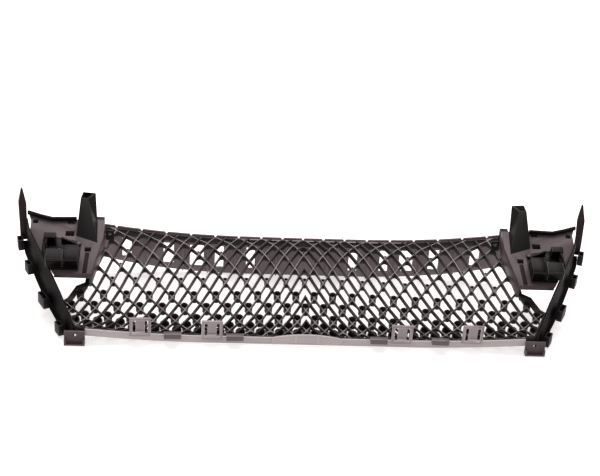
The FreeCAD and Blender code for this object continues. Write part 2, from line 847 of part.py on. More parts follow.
def pillar_blocks():
    """Solid block on the corner of the lattice, beside each pillar."""
    sections = []
    near, far = BLOCK_DEPTH
    for x in BLOCK_SIDES:
        low = [mesh_top(BLOCK_SIDES[1], y) + size("seat_gap") for y in (near, far)]
        top = low[1] + size("block_height")
        sections.append([spot(x, near, low[0]), spot(x, far, low[1]),
                         spot(x, far, top), spot(x, near, top)])
    return pair(feature("pillar_block_right", skin(sections)), "pillar_block")


# ---------------------------------------------------------------- primitives


def box(name, cells, place, turn=0.0):
    """Part box whose three edges are cells of the sheet."""
    block = doc.addObject("Part::Box", name)
    for edge, cell in zip(("Length", "Width", "Height"), cells):
        block.setExpression(edge, cell)
    block.Placement = FreeCAD.Placement(place, FreeCAD.Rotation(Vector(0, 0, 1), turn))
    return block


def cut(name, base, tool):
    piece = doc.addObject("Part::Cut", name)
    piece.Base, piece.Tool = base, tool
    return piece


def drum(name, radius, height, place, turn=None):
    round_ = doc.addObject("Part::Cylinder", name)
    round_.setExpression("Radius", radius)
    round_.setExpression("Height", height)
    round_.Placement = FreeCAD.Placement(place, turn or FreeCAD.Rotation())
    return round_


def mounting_ears():
    """Upright ear with a screw bore, between each pillar and the lattice."""
    x, y = EAR_PLACE
    foot = mesh_top(x, y + size("ear_thickness")) + size("seat_gap")
    plate = box("ear_sheet", ("sizes.ear_width", "sizes.ear_thickness", "sizes.ear_height"),
                spot(x, y, foot) - Vector(size("ear_width") / 2, 0, 0))
    back = FreeCAD.Rotation(Vector(1, 0, 0), -90)
    bore = drum("ear_hole", "sizes.ear_bore", "sizes.ear_thickness + 2",
                spot(x, y, foot + size("ear_bore_height")) - Vector(0, 1, 0), back)
    return pair(cut("mounting_ear_right", plate, bore), "mounting_ear")


def rail_clips():
    """Loop-shaped clips on the lip outside each side rail."""
    frames = rail_frames()
    for number, (stretch, share, length) in enumerate(CLIP_PLACES, start=1):
        (a, out_a, foot_a, _), (b, out_b, foot_b, _) = frames[stretch], frames[stretch + 1]
        place = a * (1 - share) + b * share
        along = (b - a).normalize()
        outward = Vector(along.y, -along.x, 0)
        foot = foot_a * (1 - share) + foot_b * share - size("clip_drop")
        turn = math.degrees(math.atan2(outward.y, outward.x))
        ledge = size("rail_thickness") + size("rail_lip") + size("seat_gap")
        start = place + outward * ledge - along * (size(length) / 2) + Vector(0, 0, foot)
        name = "rail_clip_%d" % number
        block = box(name + "_block",
                    ("sizes.clip_reach", "sizes." + length, "sizes.clip_height"),
                    start, turn)
        wall = size("clip_wall")
        slot_start = start + outward * wall + along * (2 * wall) - Vector(0, 0, 1)
        slot = box(name + "_slot", ("sizes.clip_reach - 2 * sizes.clip_wall",
                                    "sizes.%s - 4 * sizes.clip_wall" % length,
                                    "sizes.clip_height + 2"), slot_start, turn)
        pair(cut(name + "_right", block, slot), name)


def corner_brackets():
    """Angle bracket with a bore, in front of each end of the narrow edge."""
    x, y = STATIONS[-1], near_edge(STATIONS[-1]) - size("flange_thickness")
    start = spot(x, y) - Vector(0, size("bracket_reach"), 0)
    base = box("bracket_base", ("sizes.bracket_width", "sizes.bracket_reach",
                                "sizes.bracket_sheet"), start)
    upright = box("bracket_upright", ("sizes.bracket_width", "sizes.bracket_sheet",
                                      "sizes.bracket_height"),
                  start + Vector(0, size("bracket_reach") - size("bracket_sheet"), 0))
    pieces = [base, upright]
    for number, share in enumerate((0.0, 1.0)):
        shift = share * (size("bracket_width") - size("bracket_sheet"))
        pieces.append(box("bracket_cheek_%d" % number,
                          ("sizes.bracket_sheet", "sizes.bracket_reach",
                           "sizes.bracket_cheek"), start + Vector(shift, 0, 0)))
    joined = doc.addObject("Part::MultiFuse", "bracket_joined")
    joined.Shapes = pieces
    back = FreeCAD.Rotation(Vector(1, 0, 0), -90)
    middle = start + Vector(size("bracket_width") / 2, -1, size("bracket_bore_height"))
    bore = drum("bracket_hole", "sizes.bracket_bore", "sizes.bracket_reach + 2", middle, back)
    return pair(cut("corner_bracket_right", joined, bore), "corner_bracket")


# ---------------------------------------------------------------- narrow edge


def flange_front(x):
    return near_line(x) - size("flange_thickness")


def edge_turn(x):
    """Turn about Z that lays a piece along the narrow edge at a place right of the middle."""
    run = 1.0
    return math.degrees(math.atan2((near_line(x + run) - near_line(x - run)) * DEEP,
                                   2 * run * WIDE))


def catch_frame(number, x):
    """Upright frame in front of the narrow edge."""
    body = body_of("catch_frame_%d" % number)
    drawing = sketch_on(body, "XZ_Plane", "frame_%d_outline" % number)
    rectangle(drawing, "catch_width", "catch_height")
    bar = size("catch_bar")
    wide, tall = size("catch_width") / 2 - bar, size("catch_height") - bar
    first = outline(drawing, [(-wide, bar), (wide, bar), (wide, tall), (-wide, tall)])
    square_up(drawing, first)
    for kind, edge, cell in (("DistanceX", 0, "catch_width"), ("DistanceY", 1, "catch_height")):
        index = drawing.addConstraint(Sketcher.Constraint(kind, first + edge, 1, first + edge, 2,
                                                          size(cell) - 2 * bar))
        drawing.setExpression("Constraints[%d]" % index, "sizes.%s - 2 * sizes.catch_bar" % cell)
    pad(body, drawing, "frame_%d_pad" % number, "catch_thickness", both=True)
    body.Placement = catch_place(x, 0.0)
    doc.recompute()
    return pair(body, "catch_frame_%d" % number)


def catch_place(x, height):
    """Placement of a catch at a distance from the centre line, some way up its frame."""
    gap = size("seat_gap") + size("catch_thickness") / 2
    turn = FreeCAD.Rotation(Vector(0, 0, 1), edge_turn(x))
    foot = mesh_top(x, near_line(x)) + size("catch_rise") - size("catch_height")
    return FreeCAD.Placement(spot(x, flange_front(x), foot + height) - Vector(0, gap, 0), turn)


def snap_tongue(number, x):
    """Springing tongue that hangs in a catch frame, with a rounded root and a hook at its tip."""
    body = body_of("snap_tongue_%d" % number)
    blade = sketch_on(body, "XZ_Plane", "tongue_%d_outline" % number)
    rectangle(blade, "tongue_width", "tongue_length")
    pad(body, blade, "tongue_%d_pad" % number, "tongue_thickness", both=True)
    root = sketch_on(body, "YZ_Plane", "root_%d_outline" % number)
    root.addGeometry(Part.Circle(Vector(0, 0, 0), Vector(0, 0, 1), size("tongue_thickness") / 2))
    pad(body, root, "root_%d_pad" % number, "tongue_width", both=True)
    hook = sketch_on(body, "YZ_Plane", "hook_%d_outline" % number)
    top, half = size("tongue_length"), size("tongue_thickness") / 2
    low = top - size("hook_height")
    outline(hook, [(-half - size("hook_reach"), low), (0, low), (0, top), (-half, top)])
    pad(body, hook, "hook_%d_pad" % number, "tongue_width", both=True)
    root = size("catch_height") - size("catch_bar") - size("tongue_gap") - half
    hanging = FreeCAD.Placement(Vector(), FreeCAD.Rotation(Vector(0, 1, 0), 180))
    body.Placement = catch_place(x, root).multiply(hanging)
    doc.recompute()
    return pair(body, "snap_tongue_%d" % number)


def box_tab(number, x):
    """Hollow box in front of the narrow edge, open towards the car's front."""
    name = "box_tab_%d" % number
    turn = edge_turn(x)
    gap = Vector(0, size("box_reach") + size("seat_gap"), 0)
    head = mesh_top(x, near_line(x)) + size("box_rise")
    rotation = FreeCAD.Rotation(Vector(0, 0, 1), turn)
    corner = spot(x, flange_front(x), head - size("box_height")) - rotation.multVec(
        Vector(size("box_width") / 2, 0, 0) + gap)
    block = box(name + "_block", ("sizes.box_width", "sizes.box_reach", "sizes.box_height"),
                corner, turn)
    wall = size("box_wall")
    hollow_at = corner + rotation.multVec(Vector(wall, wall, -wall))
    hollow = box(name + "_hollow", ("sizes.box_width - 2 * sizes.box_wall",
                                    "sizes.box_reach - 2 * sizes.box_wall",
                                    "sizes.box_height"), hollow_at, turn)
    return pair(cut(name + "_right", block, hollow), name)


def trim_section(x):
    """Cross-section of the arched centre trim."""
    rise = size("trim_arch") * (1 - (x / size("trim_half")) ** 2)
    front = flange_front(size("trim_half")) - size("seat_gap")
    thick = size("trim_thickness")
    low, high = size("trim_foot") + rise * TRIM_HOLLOW, size("trim_head") + rise
    return [spot(x, front - thick, low), spot(x, front, low),
            spot(x, front, high), spot(x, front - thick, high)]


def centre_trims():
    """Arched trim in three lengths in front of the narrow edge."""
    half, seam, gap = size("trim_half"), size("trim_seam"), size("seat_gap") / 2
    side = [seam + gap + (half - seam - gap) * step / 3 for step in range(4)]
    middle = [(seam - gap) * step / 2 for step in range(-2, 3)]
    pair(feature("centre_trim_right", skin([trim_section(x) for x in side])), "centre_trim")
    feature("centre_trim_middle", skin([trim_section(x) for x in middle]))


# ---------------------------------------------------------------- sensor


def seat(place, height):
    """Placement on the corner plate's upper face at a plan point."""
    u, v = on_sensor(*place)
    shift = FreeCAD.Placement(Vector(u, v, size("plate_thickness") + height), FreeCAD.Rotation())
    return tilted().multiply(shift)


def seated_box(name, cells, place, height, turn=0.0):
    block = doc.addObject("Part::Box", name)
    for edge, cell in zip(("Length", "Width", "Height"), cells):
        block.setExpression(edge, cell)
    spin = FreeCAD.Placement(Vector(), FreeCAD.Rotation(Vector(0, 0, 1), turn))
    block.Placement = seat(place, height).multiply(spin)
    return block


def sensor_base():
    """Base sheet under the sensor, screwed to the corner plate."""
    body = body_of("sensor_base")
    drawing = sketch_on(body, "XY_Plane", "base_outline")
    outline(drawing, [on_sensor(x, y) for x, y in BASE_CORNERS])
    bores(drawing, [on_sensor(x, y) for x, y in SCREW_PLACES], screw_hole())
    pad(body, drawing, "base_pad", "base_thickness")
    lift_off = FreeCAD.Placement(Vector(0, 0, size("plate_thickness") + size("seat_gap")),
                                 FreeCAD.Rotation())
    body.Placement = tilted().multiply(lift_off)
    doc.recompute()
    return pair(body, "sensor_base")


def deck():
    """Height of the sensor base's upper face above the plate, with the seating gaps."""
    return size("base_thickness") + 2 * size("seat_gap")


def sensor_case():
    block = seated_box("case_block", ("sizes.case_length", "sizes.case_width",
                                      "sizes.case_height"), CASE_PLACE, deck())
    piece = doc.addObject("Part::Chamfer", "sensor_case_right")
    piece.Base = block
    doc.recompute()
    piece.Edges = [(i + 1, 1.5, 1.5) for i in range(len(block.Shape.Edges))]
    return pair(piece, "sensor_case")


def sensor_socket():
    """Plug socket of the sensor, open towards the wide edge, with its pins."""
    cells = ("sizes.socket_length", "sizes.socket_width", "sizes.socket_height")
    block = seated_box("socket_block", cells, SOCKET_PLACE, deck())
    wall = "2 * sizes.socket_wall"
    hollow = seated_box("socket_hollow", (cells[0] + " - " + wall, cells[1], cells[2] + " - " + wall),
                        SOCKET_PLACE, deck() + size("socket_wall"))
    shift = Vector(size("socket_wall"), size("socket_width") / 2, 0)
    hollow.Placement = hollow.Placement.multiply(FreeCAD.Placement(shift, FreeCAD.Rotation()))
    return pair(cut("sensor_socket_right", block, hollow), "sensor_socket")


def sensor_pins():
    """Three contact pins inside the socket."""
    pins = []
    for step in (-1, 0, 1):
        pin = drum("pin_%d" % (step + 2), "sizes.pin_radius", "sizes.pin_length", Vector())
        place = Vector(size("socket_length") / 2 + size("pin_pitch") * step,
                       size("socket_width") / 2 + PIN_GAP, size("socket_height") / 2)
        turn = FreeCAD.Rotation(Vector(1, 0, 0), -90)
        pin.Placement = seat(SOCKET_PLACE, deck()).multiply(FreeCAD.Placement(place, turn))
        pins.append(pin)
    group = doc.addObject("Part::Compound", "sensor_pins_right")
    group.Links = pins
    return pair(group, "sensor_pins")


def sensor_cap():
    block = seated_box("cap_block", ("sizes.cap_length", "sizes.cap_width",
                                     "sizes.cap_height"), CAP_PLACE, deck())
    piece = doc.addObject("Part::Chamfer", "sensor_cap_right")
    piece.Base = block
    doc.recompute()
    piece.Edges = [(i + 1, 1.0, 1.0) for i in range(len(block.Shape.Edges))]
    return pair(piece, "sensor_cap")


def sensor_stay():
    """Upright stay with two triangular openings, beside the sensor cap."""
    body = body_of("sensor_stay")
    drawing = sketch_on(body, "YZ_Plane", "stay_outline")
    outline(drawing, STAY_OUTLINE)
    for opening in STAY_OPENINGS:
        outline(drawing, opening)
    pad(body, drawing, "stay_pad", "stay_thickness", both=True)
    body.Placement = seat(STAY_PLACE, deck())
    doc.recompute()
    return pair(body, "sensor_stay")


def sensor_arm():
    arm = seated_box("sensor_arm_right", ("sizes.arm_length", "sizes.arm_width",
                                          "sizes.arm_height"), ARM_PLACE, deck(), ARM_TURN)
    return pair(arm, "sensor_arm")


def sensor_screws():
    """Screws that hold both sensor bases to their plates."""
    pieces = []
    length = size("base_thickness") + size("plate_thickness") + size("screw_overrun")
    for number, place in enumerate(SCREW_PLACES):
        shank = drum("shank_%d" % number, "sizes.screw_radius", "%f" % length, Vector())
        shank.Placement = seat(place, deck() - length)
        head = drum("head_%d" % number, "sizes.head_radius", "sizes.head_height", Vector())
        head.Placement = seat(place, deck())
        screw = doc.addObject("Part::Fuse", "screw_%d" % number)
        screw.Base, screw.Tool = shank, head
        pieces.append(screw)
    group = doc.addObject("Part::Compound", "sensor_screws_right")
    group.Links = pieces
    return pair(group, "sensor_screws")


# ---------------------------------------------------------------- build

mesh_panel()
wide_edge_wall()
narrow_edge_flange()
side_rails()
corner_plate()
pillars()
end_blades()
pillar_blocks()
mounting_ears()
rail_clips()
corner_brackets()
for index, place in enumerate(CATCH_PLACES, start=1):
    catch_frame(index, place)
    snap_tongue(index, place)
for index, place in enumerate(BOX_PLACES, start=1):
    box_tab(index, place)
centre_trims()
sensor_base()
sensor_case()
sensor_socket()
sensor_pins()
sensor_cap()
sensor_stay()
sensor_arm()
sensor_screws()

doc.recompute()
for thing in doc.Objects:
    if "Invalid" in thing.State or "Error" in thing.State:
        raise RuntimeError("%s failed: %s" % (thing.Label, thing.State))
os.makedirs("parts", exist_ok=True)
for part in parts:
    if part.Shape.isNull() or not part.Shape.isValid():
        raise RuntimeError("%s has no valid shape" % part.Label)
    box_ = part.Shape.BoundBox
    print("%-24s solids %3d volume %9.0f  x %7.1f %7.1f  y %7.1f %7.1f  z %6.1f %6.1f" % (
        part.Label, len(part.Shape.Solids), part.Shape.Volume,
        box_.XMin, box_.XMax, box_.YMin, box_.YMax, box_.ZMin, box_.ZMax))
    part.Shape.exportStep("parts/%s.step" % part.Label)
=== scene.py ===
"""Front grille insert of a car, lying on its front face in a pale studio.

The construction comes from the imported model. This file gives every moulding its softened
edges and its finish, and adds the studio and the camera.
"""

import json
import logging
import math
from dataclasses import dataclass, replace
from enum import Enum

import bpy
from mathutils import Matrix, Vector


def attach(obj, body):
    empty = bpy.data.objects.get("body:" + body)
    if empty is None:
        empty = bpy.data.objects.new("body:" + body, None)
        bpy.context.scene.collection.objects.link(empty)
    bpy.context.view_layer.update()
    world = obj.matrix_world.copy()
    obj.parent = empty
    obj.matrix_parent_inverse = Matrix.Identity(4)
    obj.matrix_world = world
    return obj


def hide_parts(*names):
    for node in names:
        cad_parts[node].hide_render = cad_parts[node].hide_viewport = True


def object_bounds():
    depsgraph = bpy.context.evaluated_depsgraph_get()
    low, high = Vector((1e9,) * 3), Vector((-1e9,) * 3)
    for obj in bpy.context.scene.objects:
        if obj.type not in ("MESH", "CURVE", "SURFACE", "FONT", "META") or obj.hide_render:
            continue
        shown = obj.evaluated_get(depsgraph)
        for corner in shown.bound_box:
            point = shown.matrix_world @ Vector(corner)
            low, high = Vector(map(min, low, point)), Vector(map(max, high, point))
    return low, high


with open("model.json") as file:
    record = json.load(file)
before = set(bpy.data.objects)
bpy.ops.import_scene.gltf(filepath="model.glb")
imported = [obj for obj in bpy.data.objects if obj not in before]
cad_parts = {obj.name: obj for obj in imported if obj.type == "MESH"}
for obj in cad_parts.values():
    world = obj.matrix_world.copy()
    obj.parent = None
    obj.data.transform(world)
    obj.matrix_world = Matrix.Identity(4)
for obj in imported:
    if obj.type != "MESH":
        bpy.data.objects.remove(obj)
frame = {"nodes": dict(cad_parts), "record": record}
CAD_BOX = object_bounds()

log = logging.getLogger("front_grille")

MM = 0.001

# Colour sockets of a mix node: its two inputs and its output.
COLOUR_A, COLOUR_B, COLOUR_OUT = 6, 7, 2

# Drift of the polish along the flow marks: the noise levels that it spans, and how far it
# leaves the mean roughness at either end.
FLOW_LOW, FLOW_HIGH = 0.3, 0.7
POLISH_BELOW, POLISH_ABOVE = 0.05, 0.07
# The same for the streaks of a metal.
STREAK_BELOW, STREAK_ABOVE = 0.08, 0.12
# A rounded edge, whose paler colour is a painted highlight, is also smoother than the face by
# this, down to a least roughness.
EDGE_POLISH, EDGE_LEAST, EDGE_GRAIN = 0.15, 0.2, 0.03
GRAIN_HEIGHT_MM = 0.1


def linear(hex_code: str) -> tuple[float, float, float, float]:
    """Turns an sRGB hex colour into linear light.

    Args:
        hex_code: Six hex digits, red first.

    Returns:
        Red, green, blue and an alpha of 1.
    """
    channels = []
    for start in (0, 2, 4):
        value = int(hex_code[start:start + 2], 16) / 255
        channels.append(value / 12.92 if value <= 0.04045 else ((value + 0.055) / 1.055) ** 2.4)
    return (channels[0], channels[1], channels[2], 1.0)


def add_node(tree: bpy.types.NodeTree, kind: str, links: dict | None = None,
             **settings: object) -> bpy.types.Node:
    """Adds a shader node.

    Args:
        tree: The node tree.
        kind: The node's type name.
        links: Input socket name or number, to an output socket or a plain value.
        **settings: Properties of the node.

    Returns:
        The new node.
    """
    node = tree.nodes.new(kind)
    for name, value in settings.items():
        setattr(node, name, value)
    for key, source in (links or {}).items():
        socket = node.inputs[key]
        if isinstance(source, bpy.types.NodeSocket):
            tree.links.new(source, socket)
        else:
            socket.default_value = source
    return node


# ---------------------------------------------------------------- finishes


@dataclass(frozen=True)
class MouldedPlastic:
    """Injection-moulded plastic with a fine spark-eroded grain and faint flow marks.

    Attributes:
        name: Name of the material.
        shade: Colour of the plastic, sRGB hex.
        faded: Colour that handling and flow marks turn it to in places, sRGB hex.
        roughness: Roughness of the skin between the grain.
        specular: Specular level, 0.5 being the plain IOR.
        ior: Index of refraction.
        grain_mm: Size of the grain. The real one is about 0.1 mm, too fine to show, so
            it is drawn coarser.
        grain_depth: Strength of the grain's bump.
        flow_mm: Size of the flow marks.
        edge_highlight: Colour of its rounded edges, paler than its shade, which is a painted
            highlight along them, sRGB hex.
    """

    name: str
    shade: str
    faded: str
    roughness: float = 0.35
    specular: float = 0.5
    ior: float = 1.49
    grain_mm: float = 0.8
    grain_depth: float = 0.15
    flow_mm: float = 60.0
    edge_highlight: str = "4b4647"

    def edges(self) -> "MouldedPlastic":
        """Gives the finish of the same plastic on its rounded edges, in the paler edge colour
        that is a painted highlight.

        Returns:
            The finish.
        """
        return replace(self, name=self.name + "_edge", shade=self.edge_highlight, faded=self.edge_highlight,
                       roughness=max(EDGE_LEAST, self.roughness - EDGE_POLISH),
                       grain_depth=EDGE_GRAIN)

    def material(self) -> bpy.types.Material:
        """Builds the node material.

        Returns:
            The material.
        """
        material = bpy.data.materials.new(self.name)
        material.use_nodes = True
        tree = material.node_tree
        tree.nodes.clear()
        place = add_node(tree, "ShaderNodeTexCoord").outputs["Object"]
        flow = add_node(tree, "ShaderNodeTexNoise", {
            "Vector": place, "Scale": 1 / (self.flow_mm * MM), "Detail": 3.0})
        grain = add_node(tree, "ShaderNodeTexNoise", {
            "Vector": place, "Scale": 1 / (self.grain_mm * MM), "Detail": 2.0})
        tint = add_node(tree, "ShaderNodeMix", {
            "Factor": flow.outputs["Fac"], COLOUR_A: linear(self.shade),
            COLOUR_B: linear(self.faded)}, data_type="RGBA")
        dull = add_node(tree, "ShaderNodeMapRange", {
            "Value": flow.outputs["Fac"], "From Min": FLOW_LOW, "From Max": FLOW_HIGH,
            "To Min": self.roughness - POLISH_BELOW, "To Max": self.roughness + POLISH_ABOVE})
        bump = add_node(tree, "ShaderNodeBump", {
            "Height": grain.outputs["Fac"], "Strength": self.grain_depth,
            "Distance": GRAIN_HEIGHT_MM * MM})
        skin = add_node(tree, "ShaderNodeBsdfPrincipled", {
            "Base Color": tint.outputs[COLOUR_OUT], "Roughness": dull.outputs["Result"],
            "Normal": bump.outputs["Normal"], "IOR": self.ior,
            "Specular IOR Level": self.specular})
        add_node(tree, "ShaderNodeOutputMaterial", {"Surface": skin.outputs["BSDF"]})
        return material


@dataclass(frozen=True)
class SheetMetal:
    """Zinc-plated or brass metal, drawn or rolled, with fine streaks.

    Attributes:
        name: Name of the material.
        shade: Reflected colour, sRGB hex.
        roughness: Mean roughness.
        streak_mm: Distance between the streaks.
    """

    name: str
    shade: str
    roughness: float = 0.3
    streak_mm: float = 0.4

    def material(self) -> bpy.types.Material:
        """Builds the node material.

        Returns:
            The material.
        """
        material = bpy.data.materials.new(self.name)
        material.use_nodes = True
        tree = material.node_tree
        tree.nodes.clear()
        place = add_node(tree, "ShaderNodeTexCoord").outputs["Object"]
        streaks = add_node(tree, "ShaderNodeTexNoise", {
            "Vector": place, "Scale": 1 / (self.streak_mm * MM), "Detail": 2.0})
        dull = add_node(tree, "ShaderNodeMapRange", {
            "Value": streaks.outputs["Fac"], "To Min": self.roughness - STREAK_BELOW,
            "To Max": self.roughness + STREAK_ABOVE})
        skin = add_node(tree, "ShaderNodeBsdfPrincipled", {
            "Base Color": linear(self.shade), "Metallic": 1.0,
            "Roughness": dull.outputs["Result"]})
        add_node(tree, "ShaderNodeOutputMaterial", {"Surface": skin.outputs["BSDF"]})
        return material


LATTICE = "mesh_panel"
CORNER_PLATES = ("corner_plate_left", "corner_plate_right")


class Slot(Enum):
    """Material slots of the record."""

    SATIN_BLACK = "satin_black"
    BROWN_BLACK = "brown_black"
    PALE_GREY = "pale_grey"
    WARM_GREY = "warm_grey"
    GLOSS_BLACK = "gloss_black"
    SCREW_STEEL = "screw_steel"
    PIN_BRASS = "pin_brass"


# The plastics named below are likely ones for such mouldings, not identified ones.
# each finish's edge colour, paler than its shade, is a painted highlight along the rounded
# edges
FINISHES = {
    # ABS from a spark-eroded mould: black and nearly without sheen
    Slot.SATIN_BLACK: MouldedPlastic("satin_black_abs", "121011", "191717", roughness=0.5,
                                     specular=0.18, edge_highlight="3c3839"),
    # talc-filled polypropylene: dull brown-black, which greys in broad light
    Slot.BROWN_BLACK: MouldedPlastic("brown_black_polypropylene", "7e7074", "6b5f63",
                                     roughness=0.45, specular=0.35, edge_highlight="948a8d"),
    # unpainted ASA: pale warm grey
    Slot.PALE_GREY: MouldedPlastic("pale_grey_asa", "b4adae", "9f9899", roughness=0.38,
                                   edge_highlight="dcd6d6"),
    # the same plastic in a darker batch
    Slot.WARM_GREY: MouldedPlastic("warm_grey_asa", "544a4d", "463d40", roughness=0.4,
                                   edge_highlight="8a7f83"),
    # polished PBT of electrical housings
    Slot.GLOSS_BLACK: MouldedPlastic("gloss_black_pbt", "090707", "0f0c0d", roughness=0.3,
                                     specular=0.07, grain_depth=0.05, edge_highlight="4a4445"),
    # screw steel under black zinc
    Slot.SCREW_STEEL: SheetMetal("black_zinc_steel", "3a3a3d", roughness=0.42),
    # tin-brass contact pins
    Slot.PIN_BRASS: SheetMetal("contact_brass", "b89a5a", roughness=0.2),
}

# the blades' crests lie on the mould's polished parting face, which leaves them shiny; their
# paler shade is a painted highlight along them
CREST_HIGHLIGHT = MouldedPlastic("polished_crest_abs_painted_highlight", "352e2f", "403839", roughness=0.22,
                       grain_depth=0.04)
# rims, steps and pocket floors of the corner plates: near black, which is painted shade where
# they stand in shadow or lie deep, and duller than the plate
PLATE_PAINTED_SHADE = MouldedPlastic("painted_shade_rim_polypropylene", "100d0e", "171314", roughness=0.55,
                           specular=0.1)
# corner plates and brackets: talc-filled polypropylene, taken as darker than the wall's
DARK_PLATE = MouldedPlastic("dark_plate_polypropylene", "574b4e", "453b3e", roughness=0.45,
                            specular=0.25, edge_highlight="6f6467")
# blades at the far corners: the same, darker still
DARK_BLADE = MouldedPlastic("dark_blade_polypropylene", "33292b", "292123", roughness=0.5,
                            specular=0.2, edge_highlight="5a5052")
# side rails: ABS with a dry grain
DRY_RAIL = MouldedPlastic("dry_rail_abs", "0d0a0b", "120e0f", roughness=0.55, specular=0.07,
                          edge_highlight="37302f")
# lattice: ABS, a little paler, as its many narrow walls catch stray light
LATTICE_SATIN = MouldedPlastic("lattice_abs", "241e1f", "2c2526", roughness=0.5, specular=0.25)
# catches and their tongues: taken as acetal, a little darker than the flange
CATCH_ACETAL = MouldedPlastic("catch_acetal", "92898b", "7f7679", roughness=0.34,
                              edge_highlight="c6bebf")
CATCHES = [piece + side for piece in ("catch_frame_1", "catch_frame_2", "snap_tongue_1",
                                      "snap_tongue_2") for side in ("_left", "_right")]
# pieces whose tone differs from the rest of their slot
OWN_FINISHES = {LATTICE: LATTICE_SATIN, **dict.fromkeys(CATCHES, CATCH_ACETAL),
                "corner_plate_left": DARK_PLATE, "corner_plate_right": DARK_PLATE,
                "end_blade_left": DARK_BLADE, "end_blade_right": DARK_BLADE,
                "corner_bracket_left": DARK_PLATE, "corner_bracket_right": DARK_PLATE,
                "side_rail_left": DRY_RAIL, "side_rail_right": DRY_RAIL}


# ---------------------------------------------------------------- mouldings


@dataclass(frozen=True)
class FaceLevels:
    """Sorts the faces of a moulding by how far they stand off their own sheet.

    Attributes:
        level_deg: How far a face may tip and still count as lying along a sheet.
        apart_deg: Angle from which two faces belong to different stretches.
        least_mm2: Area from which a face's own normal can be relied on.
        same_mm: How much two faces may differ in height and still lie on one level.
    """

    level_deg: float = 25.0
    apart_deg: float = 0.2
    least_mm2: float = 2.0
    same_mm: float = 0.25

    def lying(self, mesh: bpy.types.Mesh) -> list[bpy.types.MeshPolygon]:
        """Finds the faces that lie along a sheet and look up.

        Args:
            mesh: The moulding's mesh.

        Returns:
            Its upward faces.
        """
        least = math.cos(math.radians(self.level_deg))
        return [face for face in mesh.polygons if face.normal.z > least]

    def crests(self, mesh: bpy.types.Mesh, bar_mm: float) -> list[int]:
        """Finds the crests of the blades, which lie a step below the bars over them.

        Args:
            mesh: Mesh of a lattice that is flat from station to station.
            bar_mm: How far the bars stand above the blades.

        Returns:
            Numbers of the faces on the crests.
        """
        least = math.cos(math.radians(self.apart_deg))
        stretches: list[tuple[Vector, list[bpy.types.MeshPolygon]]] = []
        for face in sorted(self.lying(mesh), key=lambda face: -face.area):
            near = [faces for normal, faces in stretches if normal.dot(face.normal) > least]
            if near:
                near[0].append(face)
            elif face.area > self.least_mm2 * MM * MM:
                stretches.append((face.normal.copy(), [face]))
        found = []
        for normal, faces in stretches:
            heights = {face.index: normal.dot(face.center) for face in faces}
            top = max(heights[face.index] for face in faces
                      if face.area > self.least_mm2 * MM * MM)
            found += [index for index, height in heights.items()
                      if abs(top - height - bar_mm * MM) < self.same_mm * MM]
        return found

    def raised(self, mesh: bpy.types.Mesh, step_mm: float) -> list[int]:
        """Finds what stands above a sheet, and the floors of the pockets in it.

        Args:
            mesh: Mesh of a plate whose largest upward face is its sheet.
            step_mm: How far off the sheet a face must be.

        Returns:
            Numbers of those faces.
        """
        lying = self.lying(mesh)
        sheet = max(lying, key=lambda face: face.area)
        normal, level = sheet.normal.copy(), sheet.normal.dot(sheet.center)
        above = [face.index for face in mesh.polygons
                 if normal.dot(face.center) - level > step_mm * MM]
        below = [face.index for face in lying
                 if level - normal.dot(face.center) > step_mm * MM]
        return above + below


